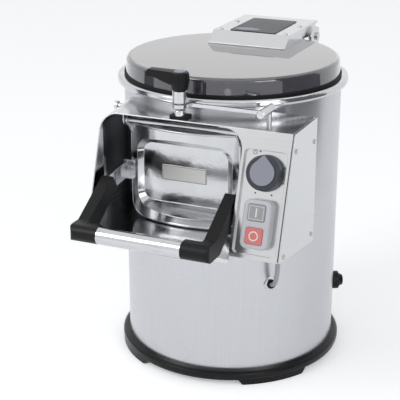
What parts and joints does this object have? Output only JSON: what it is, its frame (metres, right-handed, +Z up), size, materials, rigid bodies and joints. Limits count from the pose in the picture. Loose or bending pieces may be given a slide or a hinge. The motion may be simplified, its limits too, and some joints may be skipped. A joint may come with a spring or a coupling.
{
  "type": "electric potato peeler",
  "caption": "Table-top electric potato peeler: steel drum with smoked tilting lid, spinning abrasive plate, front chute with clamped door and U handle, timer knob and push buttons.",
  "frame": {"origin": "at the floor, in the plane of the feet, under the middle of the length; the drum's axis is 61 mm behind it", "axes": "+Z up, the chute and its door face -Y, the controls are on the +X side"},
  "size_m": [0.3543, 0.546, 0.4911],
  "materials": {
    "base_plastic": "matte moulded black plastic",
    "brushed_drum": "vertical brushed stainless steel",
    "polished_sheet": "bright stainless sheet",
    "steel_hardware": "turned stainless steel",
    "chrome_grip": "polished steel tube",
    "smoked_lid": "smoked glossy polycarbonate",
    "seal_rubber": "black moulded rubber",
    "dark_inlay": "dark gloss panel",
    "handle_plastic": "black fine textured plastic",
    "switch_grey": "grey moulded plastic",
    "stop_red": "light red button",
    "start_grey": "grey button",
    "knob_dark": "dark moulded knob",
    "knob_grey": "grey pointer face",
    "cable_grey": "grey sheathed cable",
    "abrasive": "coarse silicon carbide grit",
    "cast_alloy": "cast aluminium",
    "motor_paint": "painted motor casing",
    "bearing_steel": "ground bearing steel",
    "belt_rubber": "ribbed drive belt",
    "inlet_brass": "machined brass",
    "drain_plastic": "grey drain pipe",
    "label_metal": "blank satin label plate"
  },
  "bodies": {
    "root": {"base_ring": "base_plastic", "bottom_plate": "brushed_drum", "drum_shell": "brushed_drum", "rim_bead": "polished_sheet", "abrasive_liner": "abrasive", "chamber_floor": "cast_alloy", "lid_hinge_bracket": "polished_sheet", "lid_hinge_pin": "steel_hardware", "housing_shell": "polished_sheet", "side_cover": "polished_sheet", "housing_screws": "steel_hardware", "chute_divider": "polished_sheet", "chute_floor": "polished_sheet", "control_plate": "polished_sheet", "timer_body": "switch_grey", "switch_housing": "switch_grey", "switch_block": "handle_plastic", "discharge_throat": "polished_sheet", "door_hinge_pin": "steel_hardware", "door_hinge_brackets": "polished_sheet", "clamp_pad": "seal_rubber", "clamp_post": "steel_hardware", "clamp_sleeve": "steel_hardware", "tie_bar": "steel_hardware", "tie_barrel": "steel_hardware", "bearing_housing": "cast_alloy", "spindle_bearings": "bearing_steel", "shaft_seal": "seal_rubber", "drive_belt": "belt_rubber", "motor_body": "motor_paint", "motor_mount": "steel_hardware", "water_inlet": "inlet_brass", "drain_pipe": "drain_plastic", "cable_gland": "handle_plastic", "control_cable": "cable_grey", "cable_grommets": "seal_rubber"},
    "lid": {"lid_gasket": "seal_rubber", "lid_dome": "smoked_lid", "hinge_box": "polished_sheet", "hinge_inlay": "dark_inlay", "hinge_box_screws": "steel_hardware"},
    "door": {"discharge_door": "polished_sheet", "door_seal": "seal_rubber", "label_plate": "label_metal", "handle_arms": "handle_plastic", "handle_grip": "chrome_grip", "handle_bolts": "steel_hardware"},
    "clamp": {"clamp_lever": "handle_plastic", "clamp_cap": "knob_grey"},
    "knob": {"timer_knob": "knob_dark", "knob_pointer": "knob_grey", "timer_shaft": "steel_hardware"},
    "start": {"start_button": "start_grey"},
    "stop": {"stop_button": "stop_red"},
    "plate": {"peeling_plate": "abrasive", "plate_cap": "steel_hardware", "plate_spindle": "steel_hardware", "driven_pulley": "cast_alloy"},
    "motor_rotor": {"motor_shaft": "steel_hardware", "motor_pulley": "cast_alloy"}
  },
  "joints": [
    {"name": "lid_hinge", "type": "hinge", "parent": "root", "child": "lid", "pos_m": [0, 0.249, 0.468], "axis": [-1, 0, 0], "range_deg": [0, 100]},
    {"name": "door_hinge", "type": "hinge", "parent": "root", "child": "door", "pos_m": [0, -0.116, 0.403], "axis": [-1, 0, 0], "range_deg": [0, 70]},
    {"name": "clamp_turn", "type": "hinge", "parent": "root", "child": "clamp", "pos_m": [0.003, -0.139, 0.47], "axis": [0, 0, 1], "range_deg": [0, 90]},
    {"name": "timer_turn", "type": "hinge", "parent": "root", "child": "knob", "pos_m": [0.1415, -0.17214, 0.371], "axis": [0, 0.9506, -0.3103], "range_deg": [0, 300]},
    {"name": "start_press", "type": "slide", "parent": "root", "child": "start", "axis": [0, 0.9506, -0.3103], "range_m": [0, 0.003], "stiffness_N_per_m": 600, "springref_m": -0.002},
    {"name": "stop_press", "type": "slide", "parent": "root", "child": "stop", "axis": [0, 0.9506, -0.3103], "range_m": [0, 0.003], "stiffness_N_per_m": 600, "springref_m": -0.002},
    {"name": "plate_spin", "type": "hinge", "parent": "root", "child": "plate", "pos_m": [0, 0.061, 0.2], "axis": [0, 0, 1], "continuous": true},
    {"name": "motor_spin", "type": "hinge", "parent": "root", "child": "motor_rotor", "pos_m": [-0.098, 0.061, 0.12], "axis": [0, 0, 1], "continuous": true}
  ],
  "couplings": [
    {"joint": "motor_spin", "follows": "plate_spin", "ratio": 3.25}
  ]
}
